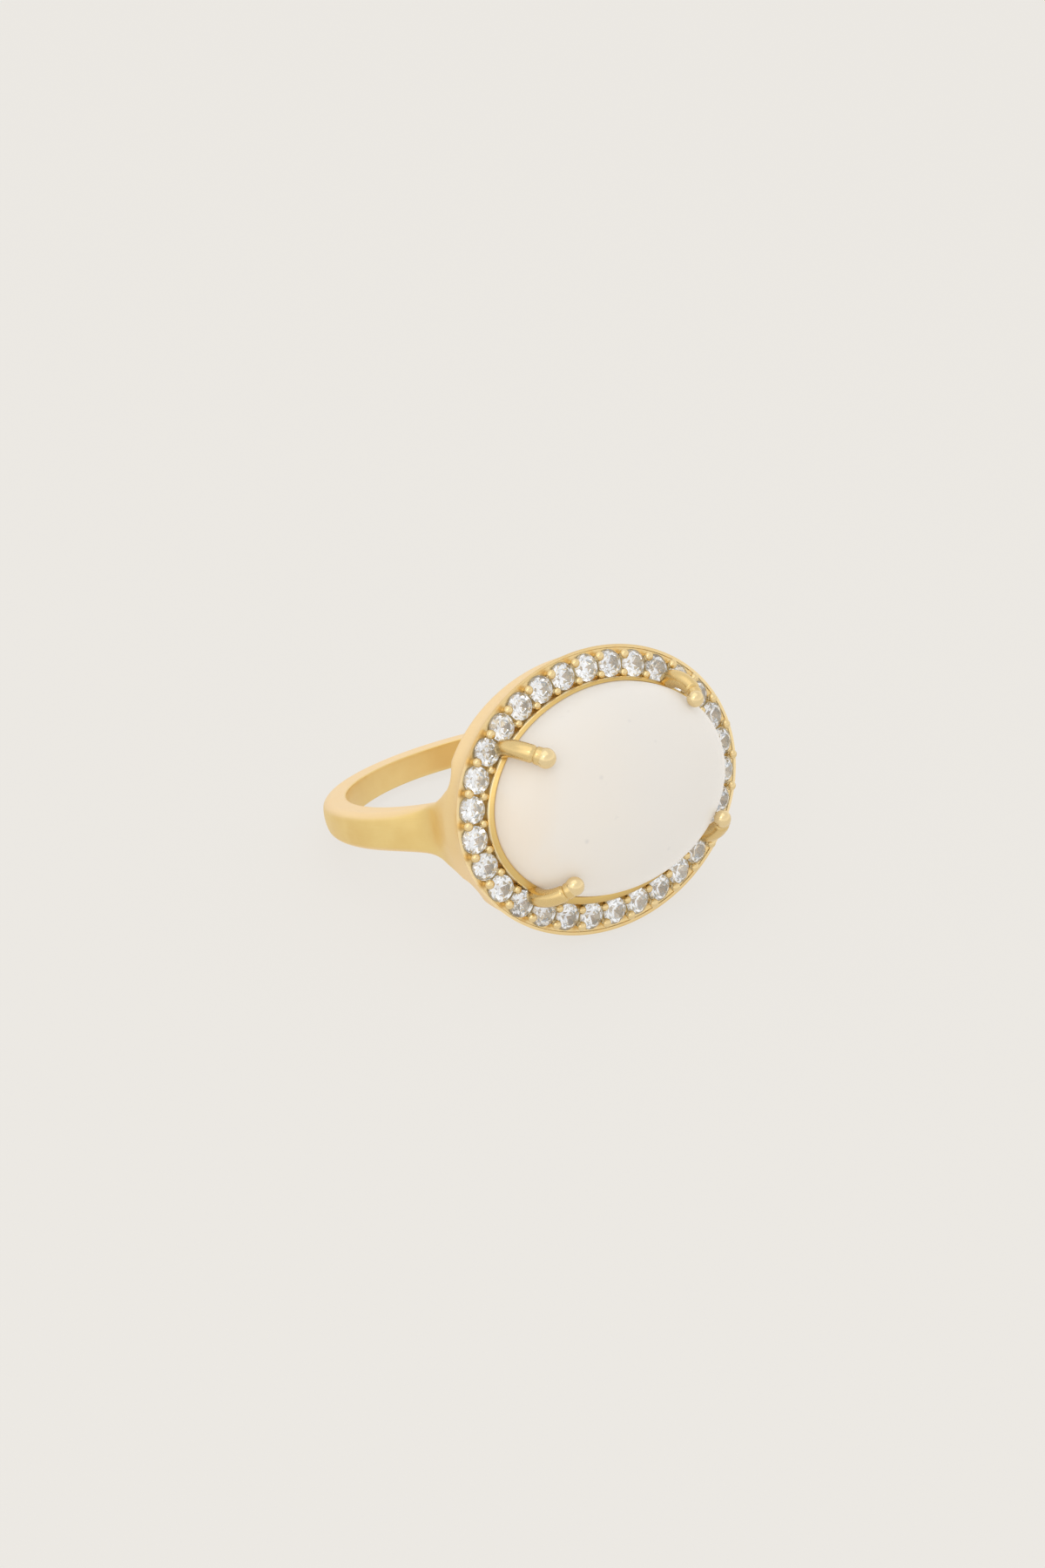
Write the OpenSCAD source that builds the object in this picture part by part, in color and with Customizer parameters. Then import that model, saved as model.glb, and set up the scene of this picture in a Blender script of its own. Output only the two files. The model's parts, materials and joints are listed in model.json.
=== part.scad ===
// An oval cabochon ring lying on its side: a satin gold mount, one domed moonstone held by
// four claws, and a halo of thirty round brilliants set in a beaded channel.
// The ring is modelled upright: X along the oval's length, Y along the finger, Z up through
// the stone, with the origin on the finger axis. lay_down() then rests it on its side.

/* [Finger hole and band] */
// Diameter of the finger hole
bore_d = 17.2; // [16:0.1:19]
// Thickness of the band
band_t = 1.32; // [1.1:0.01:1.6]
// Width of the band's inner face at the back
band_w_back = 1.56; // [1.3:0.02:2]
// Width of the band's inner face at the sides, a quarter turn from the back
band_w_side = 2.08; // [1.9:0.02:2.6]
// How fast the band widens towards the head
band_w_growth = 1.5; // [1:0.1:2.5]
// How much wider the band's outer face is than its inner face
band_splay = 0.16; // [0:0.02:0.3]
// How far the band's outer face sits below its inner face at the sides, as the ring lies
band_drop = 0.1; // [0:0.01:0.15]
// Softened edge of the band
band_edge = 0.14; // [0.05:0.01:0.25]

/* [Shoulders] */
// Angle from the back at which the band starts to rise into the head
shoulder_start = 116; // [110:1:122]
// Angle from the back at which the band's outer face starts to widen into the head
flare_start = 96; // [90:1:110]
// Extra width that the band's outer face gains where it meets the head
shoulder_flare = 1.7; // [0:0.1:2]

/* [Moonstone] */
// Length of the moonstone
moon_l = 16; // [14:0.1:18]
// Width of the moonstone
moon_w = 12; // [10:0.1:13]
// Height of the moonstone's flat base above the finger axis
moon_base_h = 10.3; // [10.2:0.05:10.5]
// Straight side of the moonstone, from its base to the start of the dome
moon_side_h = 1.0; // [0.6:0.05:1.2]
// Height of the dome above the straight side
moon_dome_h = 3.7; // [2.5:0.05:4.5]
// Fullness of the dome: 1 is an ellipse, less is fuller
moon_fullness = 0.86; // [0.75:0.01:1]
// How far the moonstone sits from the head's middle, towards its upper long edge
moon_offset = 0.06; // [0:0.01:0.08]

/* [Halo stones] */
// Number of stones in the halo
halo_count = 30; // [28:1:31]
// Length of the oval through the stones' centres
halo_l = 18.26; // [18.2:0.01:18.28]
// Width of the oval through the stones' centres
halo_w = 14.14; // [14.1:0.01:14.2]
// Diameter of a halo stone
halo_d = 1.58; // [1.5:0.01:1.6]
// Height of the halo stones' girdles above the finger axis
halo_h = 10.7; // [10.65:0.01:10.75]
// Height of a stone's crown above its girdle
crown_h = 0.24; // [0.2:0.01:0.28]
// Depth of a stone's pavilion below its girdle
pavilion_h = 0.68; // [0.6:0.01:0.7]
// Thickness of a stone's girdle
girdle_t = 0.03; // [0.02:0.01:0.05]
// Width of a stone's table as a share of its diameter
table_share = 0.55; // [0.5:0.01:0.6]

/* [Head] */
// Length of the rim's outer edge
rim_l = 20.22; // [20.2:0.01:20.4]
// Width of the rim's outer edge
rim_w = 16.28; // [16.2:0.01:16.4]
// Height of the lip round the moonstone above the finger axis
lip_h = 11.4; // [11.3:0.05:11.5]
// Height of the rim above the finger axis
rim_h = 10.58; // [10.5:0.01:10.65]
// Width of the rim's flat top
rim_t = 0.15; // [0.12:0.01:0.16]
// Height of the channel floor above the finger axis
channel_h = 10.3; // [10.2:0.05:10.4]
// How far the channel's outer wall slants inwards, from the rim down to the floor
channel_slant = 0.25; // [0.22:0.01:0.3]
// Height of the head's lower edge above the finger axis
head_back_h = 8.35; // [8:0.05:8.6]
// How far the head's wall draws in below the rim
wall_draw = 0.52; // [0.3:0.02:0.8]
// Height of the hollow's ceiling, behind the moonstone
hollow_h = 9.3; // [9.1:0.05:9.5]

/* [Beads and claws] */
// Radius of a bead on the halo's outer side
bead_outer_r = 0.295; // [0.2:0.005:0.3]
// Radius of a bead on the halo's inner side
bead_inner_r = 0.235; // [0.2:0.005:0.24]
// Height of the beads' middles above the stones' girdles
bead_rise = 0.25; // [0.25:0.01:0.3]
// Distance of a bead from the line of stone centres
bead_off = 0.56; // [0.56:0.01:0.6]
// Radius of a claw
claw_r = 0.48; // [0.4:0.01:0.5]
// Radius of the ball at a claw's tip
claw_ball_r = 0.58; // [0.5:0.01:0.62]

/* [Hidden] */

// Clearance between a stone and the metal round it
fit = 0.03;
gold = [0.89, 0.74, 0.42];
milk = [0.93, 0.91, 0.88];
clear_white = [0.86, 0.87, 0.88];

bore_r = bore_d / 2;
band_r = bore_r + band_t;
moon_a = moon_l / 2;
moon_b = moon_w / 2;
dome_h = moon_base_h + moon_side_h;
// The straight side draws in to this share of the oval at the base
moon_taper = 0.975;

// Half the length and width of the stones' oval, of the rim and of the moonstone's pocket
halo_a = halo_l / 2;
halo_b = halo_w / 2;
rim_a = rim_l / 2;
rim_b = rim_w / 2;
pocket_a = moon_a + fit;
pocket_b = moon_b + fit;
// Distance from the stones' oval to the lip's wall
channel_r = halo_d / 2 + fit;

// Segments round the head's oval, the moonstone and a claw
head_n = 96;
moon_n = 64;
moon_rings = 10;
claw_n = 10;

// Each claw's foot is at this step of the halo, its bearing on the moonstone is an angle
// round the oval, and its reach is an angle up the dome
// [foot step, bearing, reach]
CLAWS = [
    [3.5, 39.5, 28.5],
    [11.5, 138.5, 32.5],
    [18.5, 223.5, 31],
    [26.5, 321.5, 27.5]
];

// The head's section, from the hollow round the outside to the pocket
// [half length, half width, height, offset across]
HEAD_SECTION = [
    [pocket_a - 0.22, pocket_b - 0.22, hollow_h, 0],
    [pocket_a - 0.12, pocket_b - 0.12, head_back_h, 0],
    each [
        // [share of the draw, height above the lower edge]
        for (row = [[1.27, 0], [1.06, 0.12], [1, 0.5], [0.93, 0.95], [0.77, 1.4], [0.48, 1.85], [0.2, 2.1]])
            [rim_a - wall_draw * row[0], rim_b - wall_draw * row[0], head_back_h + row[1], 0]
    ],
    [rim_a, rim_b, rim_h, 0],
    [rim_a - rim_t, rim_b - rim_t, rim_h, 0],
    [rim_a - rim_t - channel_slant, rim_b - rim_t - channel_slant, channel_h, 0],
    [halo_a - channel_r, halo_b - channel_r, channel_h, 0],
    [halo_a - channel_r, halo_b - channel_r, lip_h - 0.25, 0],
    [pocket_a + 0.12, pocket_b + 0.12, lip_h, moon_offset / 2],
    [pocket_a, pocket_b, lip_h, moon_offset],
    [pocket_a, pocket_b, moon_base_h - fit, moon_offset]
];

function stone_name(i) = str("halo_stone_", i < 10 ? "0" : "", i);

// A point of an oval, and the direction square to it
function oval(a, b, t) = [a * cos(t), b * sin(t)];
function outward(a, b, t) = let (n = [cos(t) / a, sin(t) / b]) n / norm(n);

// Length along the oval of stone centres, for each degree
halo_arc = [
    for (t = 0, s = 0; t <= 360; s = s + norm(oval(halo_a, halo_b, t + 1) - oval(halo_a, halo_b, t)), t = t + 1)
        [s, t]
];
halo_length = halo_arc[360][0];
function halo_angle(step) = lookup(step / halo_count * halo_length, halo_arc);
function halo_point(step) = oval(halo_a, halo_b, halo_angle(step));

// A place between two stones, measured outwards from the line that joins their centres
function between(step, off) =
    (halo_point(step - 0.5) + halo_point(step + 0.5)) / 2 + outward(halo_a, halo_b, halo_angle(step)) * off;

// Triangles of a surface through rings of n points each
function skin(rings, n) = [
    for (r = [0:rings - 2], i = [0:n - 1]) let (
        a = r * n + i,
        b = r * n + (i + 1) % n
    ) each [[b, a, b + n], [b + n, a, a + n]]
];
function first_cap(n) = [[for (i = [0:n - 1]) i]];
function last_cap(rings, n) = [[for (i = [n - 1:-1:0]) (rings - 1) * n + i]];

// Closed solid through rings of n points, capped at both ends
module lofted(rings, n) {
    count = len(rings);
    polyhedron([for (r = rings) each r], concat(skin(count, n), first_cap(n), last_cap(count, n)));
}

// The dome's surface: bearing round the oval, angle up the dome, distance off the surface
function dome_point(bearing, up, off = 0) = let (
    c = pow(cos(up), moon_fullness),
    s = pow(sin(up), moon_fullness),
    p = [moon_a * c * cos(bearing), moon_b * c * sin(bearing) + moon_offset, dome_h + moon_dome_h * s],
    q = 2 / moon_fullness - 1,
    n = [cos(bearing) * pow(c, q) / moon_a, sin(bearing) * pow(c, q) / moon_b, pow(s, q) / moon_dome_h]
) p + n / norm(n) * off;

// Width and outer radius of the band at an angle from its back
shoulder_end = 131;
under_head = 9.45;
function band_w(t) = band_w_back + (band_w_side - band_w_back) * pow(min(t, 125) / 90, band_w_growth);
function band_flare(t) =
    shoulder_flare * pow(max(0, 1 - abs(t - shoulder_end) / (shoulder_end - flare_start)), 3);
function band_out(t) = let (
    rise = max(0, (t - shoulder_start) / (shoulder_end - shoulder_start)),
    foot = norm([rim_a - wall_draw, head_back_h])
) t < shoulder_end
    ? band_r + (foot - 0.12 - band_r) * pow(rise, 3)
    : min((halo_a + 0.3) / sin(min(t, 179)), under_head / -cos(t));

// The band's section at a turn round the finger: [radius, place along the finger]
function band_section(turn) = let (
    t = abs(turn),
    w = band_w(t) / 2,
    s = (band_splay + band_flare(t)) / 2,
    r = band_out(t),
    drop = band_drop * min(1, t / 60),
    low = w + s + drop,
    high = w + s - drop,
    e = band_edge
) [
    [bore_r - 0.5, -w],
    [r - 2 * e, -low],
    [r - 0.7 * e, -low + 0.35 * e],
    [r - 0.2 * e, -low + e],
    [r, -w * 0.4],
    [r, w * 0.4],
    [r - 0.2 * e, high - e],
    [r - 0.7 * e, high - 0.35 * e],
    [r - 2 * e, high],
    [bore_r - 0.5, w]
];
band_turns = [
    each [for (t = [-180:9:-144]) t],
    each [for (t = [-139:3:-109]) t],
    each [for (t = [-100:10:100]) t],
    each [for (t = [109:3:139]) t],
    each [for (t = [144:9:171]) t]
];

module band() {
    rings = [
        for (turn = band_turns)
            [for (p = band_section(turn)) [p[0] * sin(turn), p[1], -p[0] * cos(turn)]]
    ];
    n = len(rings[0]);
    count = len(rings);
    join = [
        for (i = [0:n - 1]) let (
            a = (count - 1) * n + i,
            b = (count - 1) * n + (i + 1) % n
        ) each [[b, a, (i + 1) % n], [(i + 1) % n, a, i]]
    ];
    color(gold) polyhedron([for (r = rings) each r], concat(skin(count, n), join));
}

module head() {
    rings = [
        for (row = HEAD_SECTION)
            [for (i = [0:head_n - 1]) let (p = oval(row[0], row[1], i * 360 / head_n)) [p[0], p[1] + row[3], row[2]]]
    ];
    color(gold) lofted(rings, head_n);
}

// A claw rises from its foot between two stones and follows the dome to its ball
// [height, radius] of the foot, below where the claw meets the dome's curve
CLAW_FOOT = [
    [channel_h - 0.15, 0.17],
    [halo_h + 0.1, 0.17],
    [halo_h + crown_h + 0.06, 0.27],
    [halo_h + crown_h + 0.25, 0.38]
];
claw_steps = 6;
function claw_gap(share) = claw_r + fit + (claw_ball_r - claw_r) * share;
function claw_path(c) = concat(
    [for (row = CLAW_FOOT) let (p = between(c[0], -bead_off)) [p[0], p[1], row[0]]],
    [for (i = [0:claw_steps]) dome_point(c[1], max(0.01, c[2] * i / claw_steps), claw_gap(i / claw_steps))]
);
function claw_radii() = concat([for (row = CLAW_FOOT) row[1]], [for (i = [0:claw_steps]) claw_r]);

module claw(c) {
    path = claw_path(c);
    radii = claw_radii();
    last = len(path) - 1;
    lean = outward(moon_a, moon_b, c[1]);
    side = [-lean[1], lean[0], 0];
    rings = [
        for (k = [0:last]) let (
            along = path[min(k + 1, last)] - path[max(k - 1, 0)],
            ahead = k < len(CLAW_FOOT) ? [0, 0, 1] : along / norm(along),
            across = cross(side, ahead) / norm(cross(side, ahead)),
            beside = cross(ahead, across)
        ) [
            for (i = [0:claw_n - 1]) let (t = i * 360 / claw_n)
                path[k] + radii[k] * (cos(t) * across + sin(t) * beside)
        ]
    ];
    color(gold) {
        lofted(rings, claw_n);
        translate(path[last]) sphere(r = claw_ball_r, $fn = 48);
    }
}

// A bead on its post
module bead(at, r) {
    post_h = halo_h + bead_rise - channel_h + 0.1;
    color(gold) translate([at[0], at[1], channel_h - 0.1]) {
        cylinder(r = 0.17, h = post_h, $fn = 24);
        translate([0, 0, post_h]) sphere(r = r, $fn = 24);
    }
}

function has_claw(step) = len([for (c = CLAWS) if (c[0] == step) c]) > 0;

module beads() {
    for (i = [0:halo_count - 1]) {
        bead(between(i + 0.5, bead_off), bead_outer_r);
        if (!has_claw(i + 0.5)) bead(between(i + 0.5, -bead_off), bead_inner_r);
    }
}

// The seat that is cut in the channel floor for one stone
module seat(i) {
    p = halo_point(i - 1);
    depth = pavilion_h + girdle_t / 2 + 1.5 * fit;
    up = channel_h + 0.1 - (halo_h - depth);
    translate([p[0], p[1], halo_h - depth])
        cylinder(r1 = 0.02, r2 = 0.02 + (halo_d / 2) * up / pavilion_h, h = up, $fn = 32);
}

module ring_mount() {
    color(gold) difference() {
        union() {
            head();
            band();
            beads();
            for (c = CLAWS) claw(c);
        }
        rotate([90, 0, 0]) cylinder(r = bore_r, h = moon_w * 2, center = true, $fn = 180);
        for (i = [1:halo_count]) seat(i);
    }
}

module moonstone() {
    ups = [for (k = [0:moon_rings - 1]) 90 * k / moon_rings];
    rings = concat(
        [
            // [share of the oval, height]
            for (row = [[moon_taper, moon_base_h], [1, moon_base_h + 0.4]]) [
                for (i = [0:moon_n - 1]) let (p = oval(moon_a, moon_b, i * 360 / moon_n) * row[0])
                    [p[0], p[1] + moon_offset, row[1]]
            ]
        ],
        [for (u = ups) [for (i = [0:moon_n - 1]) dome_point(i * 360 / moon_n, u)]]
    );
    top = len(rings) * moon_n;
    color(milk) polyhedron(
        concat([for (r = rings) each r], [[0, moon_offset, dome_h + moon_dome_h]]),
        concat(
            skin(len(rings), moon_n),
            first_cap(moon_n),
            [for (i = [0:moon_n - 1]) [top - moon_n + (i + 1) % moon_n, top - moon_n + i, top]]
        )
    );
}

// A round brilliant about its own axis, with its girdle at height 0
module brilliant() {
    r = halo_d / 2;
    rt = r * table_share;
    g = girdle_t / 2;
    // Reach of the star facets on the crown and of the lower facets on the pavilion
    rs = rt + (r - rt) * 0.55;
    rp = r * 0.26;
    star_h = g + crown_h * (r - rs * cos(22.5)) / (r - rt);
    low_h = -g - pavilion_h * (1 - rp * cos(22.5) / r);
    table = [for (i = [0:7]) [rt * cos(45 * i), rt * sin(45 * i), g + crown_h]];
    star = [for (i = [0:7]) [rs * cos(45 * i + 22.5), rs * sin(45 * i + 22.5), star_h]];
    girdle_up = [for (i = [0:15]) [r * cos(22.5 * i), r * sin(22.5 * i), g]];
    girdle_low = [for (i = [0:15]) [r * cos(22.5 * i), r * sin(22.5 * i), -g]];
    low = [for (i = [0:7]) [rp * cos(45 * i + 22.5), rp * sin(45 * i + 22.5), low_h]];
    culet = [[0, 0, -g - pavilion_h]];
    function s(i) = 8 + (i + 8) % 8;
    function u(i) = 16 + (i + 16) % 16;
    function d(i) = 32 + (i + 16) % 16;
    function l(i) = 48 + (i + 8) % 8;
    polyhedron(
        concat(table, star, girdle_up, girdle_low, low, culet),
        concat(
            [[for (i = [7:-1:0]) i]],
            [for (i = [0:7]) [i, (i + 1) % 8, s(i)]],
            [for (i = [0:7]) [i, s(i), u(2 * i), s(i - 1)]],
            [for (i = [0:7]) each [[s(i), u(2 * i + 1), u(2 * i)], [s(i), u(2 * i + 2), u(2 * i + 1)]]],
            [for (i = [0:15]) [u(i), u(i + 1), d(i + 1), d(i)]],
            [for (i = [0:7]) each [[l(i), d(2 * i), d(2 * i + 1)], [l(i), d(2 * i + 1), d(2 * i + 2)]]],
            [for (i = [0:7]) [56, l(i - 1), d(2 * i), l(i)]]
        )
    );
}

module halo_stone(i) {
    p = halo_point(i - 1);
    color(clear_white) translate([p[0], p[1], halo_h]) rotate(halo_angle(i - 1)) brilliant();
}

// Resting pose: the head's wall and the back of the band touch the surface
tilt = min([
    for (p = band_section(0))
        max([for (row = HEAD_SECTION) atan((row[1] + p[1]) / (row[2] + p[0]))])
]);
lift = max([for (row = HEAD_SECTION) row[1] * cos(tilt) - row[2] * sin(tilt)]);

// Furthest reach of the ring to the front and to the back once it lies down
function laid_y(p) = p[1] * sin(tilt) - p[2] * cos(tilt);
front = min(concat(
    [for (b = [0:15:345], u = [0:5:89]) laid_y(dome_point(b, u))],
    [for (c = CLAWS) let (path = claw_path(c)) laid_y(path[len(path) - 1]) - claw_ball_r]
));
back = max([for (p = band_section(0)) laid_y([0, p[1], -p[0]])]);

module lay_down() {
    translate([0, -(front + back) / 2, lift]) rotate([90 - tilt, 0, 0]) children();
}

lay_down() ring_mount();
lay_down() moonstone();
for (i = [1:halo_count]) lay_down() halo_stone(i);
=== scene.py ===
"""An oval moonstone ring lying on its side, dressed for a studio picture.

Every piece is modelled in the ring's own frame, in millimetres: X along the oval head, Y along
the finger, Z up through the moonstone, with the origin on the finger axis. The rest pose then
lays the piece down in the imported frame, in metres.
"""

from __future__ import annotations

import json
import logging
import math
import random
from dataclasses import dataclass, field
from enum import Enum

import bmesh
import bpy
from mathutils import Matrix, Vector, kdtree

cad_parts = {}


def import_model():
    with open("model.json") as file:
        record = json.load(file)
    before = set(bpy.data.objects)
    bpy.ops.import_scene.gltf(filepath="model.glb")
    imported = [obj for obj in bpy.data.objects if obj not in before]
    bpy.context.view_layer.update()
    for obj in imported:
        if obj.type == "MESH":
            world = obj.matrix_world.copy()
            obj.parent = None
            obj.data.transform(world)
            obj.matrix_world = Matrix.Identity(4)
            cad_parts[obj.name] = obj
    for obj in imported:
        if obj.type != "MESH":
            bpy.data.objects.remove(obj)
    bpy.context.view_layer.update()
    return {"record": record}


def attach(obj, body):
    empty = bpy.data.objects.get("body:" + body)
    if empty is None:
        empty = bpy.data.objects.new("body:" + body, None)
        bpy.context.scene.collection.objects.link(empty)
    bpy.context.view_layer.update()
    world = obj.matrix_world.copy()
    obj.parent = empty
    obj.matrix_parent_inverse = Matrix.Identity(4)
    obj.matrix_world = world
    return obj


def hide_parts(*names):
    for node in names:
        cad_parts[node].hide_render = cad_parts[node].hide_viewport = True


log = logging.getLogger("ring")

BMesh = bmesh.types.BMesh
Socket = bpy.types.NodeSocket
Colour = tuple[float, float, float]
Place = tuple[float, float, float]
Span = tuple[float, float]
Pairs = tuple[tuple[float, float], ...]
Triples = tuple[tuple[float, float, float], ...]

# One millimetre in metres
MM = 0.001

# In millimetres: the height of the head's foot over the finger axis, and the room round the moonstone
FOOT_HEIGHT = 8.35
FIT = 0.03


class Slot(Enum):
    """The record's material slots."""

    GOLD = "gold"
    MOONSTONE = "moonstone"
    BRILLIANT = "brilliant"


class Grain(Enum):
    """The way that the satin brushing runs: the stretch of its noise along X, Y and Z."""

    ROUND_FINGER = (0.7, 15.0, 0.7)
    NONE = (6.0, 6.0, 6.0)


# Shapes and helpers that the pieces share


@dataclass(frozen=True)
class Oval:
    """An ellipse in the plane of the head, by its half length and half width."""

    half_length: float
    half_width: float
    shift: float = 0.0

    def point(self, angle: float, height: float = 0.0) -> Vector:
        """Finds a point of the oval.

        Args:
            angle: The oval's angle, in radians.
            height: The height that the point is lifted to.

        Returns:
            The point.
        """
        return Vector((
            self.half_length * math.cos(angle),
            self.half_width * math.sin(angle) + self.shift,
            height,
        ))

    def outward(self, angle: float) -> Vector:
        """The direction square to the oval at an angle in radians."""
        return Vector((math.cos(angle) / self.half_length, math.sin(angle) / self.half_width, 0)).normalized()

    def grown(self, by: float) -> Oval:
        """The same oval with both half sizes larger by one amount."""
        return Oval(self.half_length + by, self.half_width + by, self.shift)

    def reach(self, across: float) -> float:
        """The oval's X at a place across its width."""
        return self.half_length * math.sqrt(max(0.0, 1 - (across / self.half_width) ** 2))


@dataclass(frozen=True)
class RestPose:
    """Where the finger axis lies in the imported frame."""

    place: Vector
    finger: Vector

    @classmethod
    def of(cls, record: dict) -> RestPose:
        """Reads the pose from the finger hole's mount.

        Args:
            record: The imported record.

        Returns:
            The rest pose.
        """
        hole = next(m for m in record["mounts"] if m["name"] == "finger_hole")
        return cls(Vector(hole["pos_m"]), Vector(hole["axis"]).normalized())

    @property
    def lean(self) -> float:
        """The turn about X that lays the ring down, in radians."""
        return math.atan2(self.finger.z, self.finger.y)

    @property
    def matrix(self) -> Matrix:
        """Takes millimetres in the ring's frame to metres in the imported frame."""
        return Matrix.Translation(self.place) @ Matrix.Rotation(self.lean, 4, "X") @ Matrix.Scale(MM, 4)


def smooth_step(low: float, high: float, x: float) -> float:
    """A smooth rise from 0 at low to 1 at high."""
    s = min(1.0, max(0.0, (x - low) / (high - low)))
    return s * s * (3 - 2 * s)


def soft_min(a: float, b: float, width: float) -> float:
    """The smaller of two lengths, with a rounded change from one to the other."""
    h = max(0.0, width - abs(a - b)) / width
    return min(a, b) - h * h * width / 4


def add_mask(mesh: BMesh, name: str, amount: float) -> None:
    """Gives a mesh a named layer with the same value at all of its points.

    Args:
        mesh: The mesh.
        name: The layer's name.
        amount: The value.
    """
    layer = mesh.verts.layers.float.new(name)
    for v in mesh.verts:
        v[layer] = amount


def verts_of(made: list) -> list[bmesh.types.BMVert]:
    """The points among what a mesh operator made."""
    return [g for g in made if isinstance(g, bmesh.types.BMVert)]


def edges_of(made: list) -> list[bmesh.types.BMEdge]:
    """The edges among what a mesh operator made."""
    return [g for g in made if isinstance(g, bmesh.types.BMEdge)]


def open_edges(mesh: BMesh) -> list[bmesh.types.BMEdge]:
    """The edges along a mesh's openings."""
    return [e for e in mesh.edges if e.is_boundary]


def spin_round(mesh: BMesh, axis: Place, steps: int) -> None:
    """Spins a line or loop of edges a full turn about an axis through the origin.

    Args:
        mesh: The mesh with nothing but the edges.
        axis: The axis to spin about.
        steps: How many steps the turn has.
    """
    edges = mesh.verts[:] + mesh.edges[:]
    bmesh.ops.spin(mesh, geom=edges, cent=(0, 0, 0), axis=axis, angle=math.tau, steps=steps, use_merge=True)
    bmesh.ops.remove_doubles(mesh, verts=mesh.verts, dist=1e-4)


def slice_off(mesh: BMesh, place: Vector, way: Vector, dist: float) -> list[bmesh.types.BMEdge]:
    """Takes off what lies beyond a plane.

    Args:
        mesh: The mesh that is cut.
        place: A point of the plane.
        way: The plane's normal, which points at what is taken off.
        dist: How near to the plane a point counts as on it.

    Returns:
        The edges of the cut.
    """
    made = bmesh.ops.bisect_plane(
        mesh, geom=mesh.verts[:] + mesh.edges[:] + mesh.faces[:], dist=dist,
        plane_co=place, plane_no=way, clear_outer=True,
    )
    return edges_of(made["geom_cut"])


def add_object(name: str, data: bpy.types.ID) -> bpy.types.Object:
    """Puts an object into the scene.

    Args:
        name: The object's name.
        data: Its mesh, camera or light.

    Returns:
        The object.
    """
    thing = bpy.data.objects.new(name, data)
    bpy.context.scene.collection.objects.link(thing)
    return thing


def add_shape(name: str, mesh: BMesh) -> bpy.types.Object:
    """Puts an object with a mesh's shape into the scene.

    Args:
        name: The object's name.
        mesh: Its shape. It is freed.

    Returns:
        The object.
    """
    data = bpy.data.meshes.new(name)
    mesh.to_mesh(data)
    mesh.free()
    return add_object(name, data)


# The halo's plan


@dataclass(frozen=True)
class HaloPlan:
    """Where the stones, beads and claw feet stand round the halo."""

    line: Oval = Oval(9.13, 7.07)
    count: int = 30
    stone_radius: float = 0.79
    girdle_height: float = 10.7
    channel_half: float = 0.82
    floor_height: float = 10.57
    lean: float = 0.17
    claw_steps: tuple[float, ...] = (3.5, 11.5, 18.5, 26.5)

    def angle(self, step: float) -> float:
        """The oval's angle at a number of steps from its end.

        Args:
            step: How many stone spacings from the end of the oval.

        Returns:
            The angle in radians, with the stones evenly spaced along the line.
        """
        cuts = 720
        turn = [2 * math.pi * k / cuts for k in range(cuts + 1)]
        arc = [0.0]
        for a, b in zip(turn, turn[1:]):
            arc.append(arc[-1] + (self.line.point(b) - self.line.point(a)).length)
        goal = (step % self.count) / self.count * arc[-1]
        k = max(i for i, s in enumerate(arc[:-1]) if s <= goal)
        return turn[k] + (turn[k + 1] - turn[k]) * (goal - arc[k]) / (arc[k + 1] - arc[k])

    def stone(self, step: float) -> Vector:
        """The middle of the stone at a step, at its girdle's height."""
        return self.line.point(self.angle(step), self.girdle_height)

    def seat(self, step: float) -> Matrix:
        """The place and lean of the stone at a step: a stone leans a little outwards."""
        axis = Vector((0, 0, 1)).cross(self.line.outward(self.angle(step)))
        return Matrix.Translation(self.stone(step)) @ Matrix.Rotation(self.lean, 4, axis)

    def between(self, step: float, off: float) -> Vector:
        """A place between two stones.

        Args:
            step: The step halfway between the stones.
            off: Distance outwards from the line that joins their centres.

        Returns:
            The place, at the girdle's height.
        """
        middle = (self.stone(step - 0.5) + self.stone(step + 0.5)) / 2
        return middle + self.line.outward(self.angle(step)) * off


@dataclass(frozen=True)
class Dome:
    """The cabochon's domed surface."""

    edge: Oval = Oval(8.0, 5.93, 0.12)
    base_height: float = 10.3
    side_height: float = 1.0
    rise: float = 3.7
    fullness: float = 0.86

    @property
    def spring(self) -> float:
        """The height at which the dome starts."""
        return self.base_height + self.side_height

    def point(self, bearing: float, up: float, off: float = 0.0) -> Vector:
        """A point on the dome, or off it along its normal.

        Args:
            bearing: Angle round the oval, in radians.
            up: Angle up the dome, in radians.
            off: Distance off the surface.

        Returns:
            The point.
        """
        least = 1e-6
        c = max(least, math.cos(up)) ** self.fullness
        s = max(least, math.sin(up)) ** self.fullness
        q = 2 / self.fullness - 1
        a, b = self.edge.half_length, self.edge.half_width
        normal = Vector((
            math.cos(bearing) * c**q / a,
            math.sin(bearing) * c**q / b,
            s**q / self.rise,
        )).normalized()
        flat = self.edge.point(bearing)
        shift = self.edge.shift
        place = Vector((flat.x * c, (flat.y - shift) * c + shift, self.spring + self.rise * s))
        return place + normal * off


# Finishes


@dataclass(frozen=True)
class Ramp:
    """Stops of a colour ramp: place and colour."""

    stops: tuple[tuple[float, Colour], ...]

    @classmethod
    def tinted(cls, levels: Pairs, tint: Colour) -> Ramp:
        """Stops of one tint at several levels, each with its place."""
        return cls(tuple((place, tuple(level * part for part in tint)) for place, level in levels))


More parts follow.
